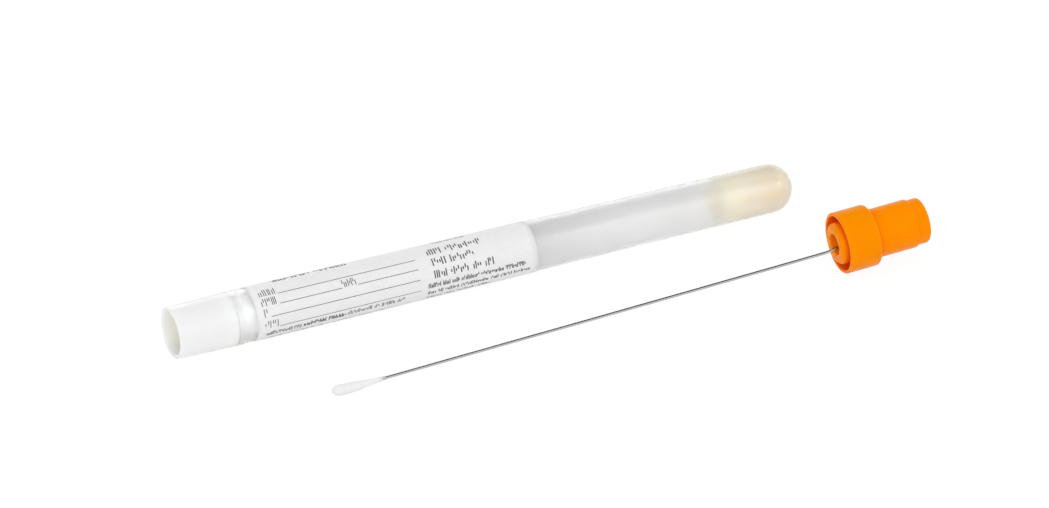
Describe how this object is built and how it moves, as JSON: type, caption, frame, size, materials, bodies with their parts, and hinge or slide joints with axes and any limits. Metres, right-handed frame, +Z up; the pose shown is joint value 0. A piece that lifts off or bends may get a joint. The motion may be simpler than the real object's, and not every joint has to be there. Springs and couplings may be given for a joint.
{
  "type": "specimen swab tube",
  "caption": "Round-bottomed transport tube with pull-out plug, paper label and gel, lying beside its capped wire swab.",
  "frame": {"origin": "middle of the whole set's box, on the surface that it lies on", "axes": "+X along the tube from its mouth to its round end, +Z up, the swab lies on the -Y side"},
  "size_m": [0.183, 0.0444, 0.0154],
  "materials": {
    "tube_plastic": "clear, slightly hazy polypropylene",
    "label_paper": "white paper with dark print",
    "gel": "cream semi-solid gel",
    "plug_plastic": "translucent white polyethylene",
    "cap_plastic": "satin orange polyethylene",
    "wire": "bright drawn wire",
    "bud_fibre": "wound white fibre"
  },
  "bodies": {
    "tube_and_swab": {"tube": "tube_plastic", "form_label": "label_paper", "medium_gel": "gel", "swab_cap": "cap_plastic", "shaft_wire": "wire", "fibre_bud": "bud_fibre"},
    "plug": {"mouth_plug": "plug_plastic"}
  },
  "joints": [
    {"name": "plug_pull", "type": "slide", "parent": "tube_and_swab", "child": "plug", "axis": [-1, 0, 0], "range_m": [0, 0.025]}
  ]
}
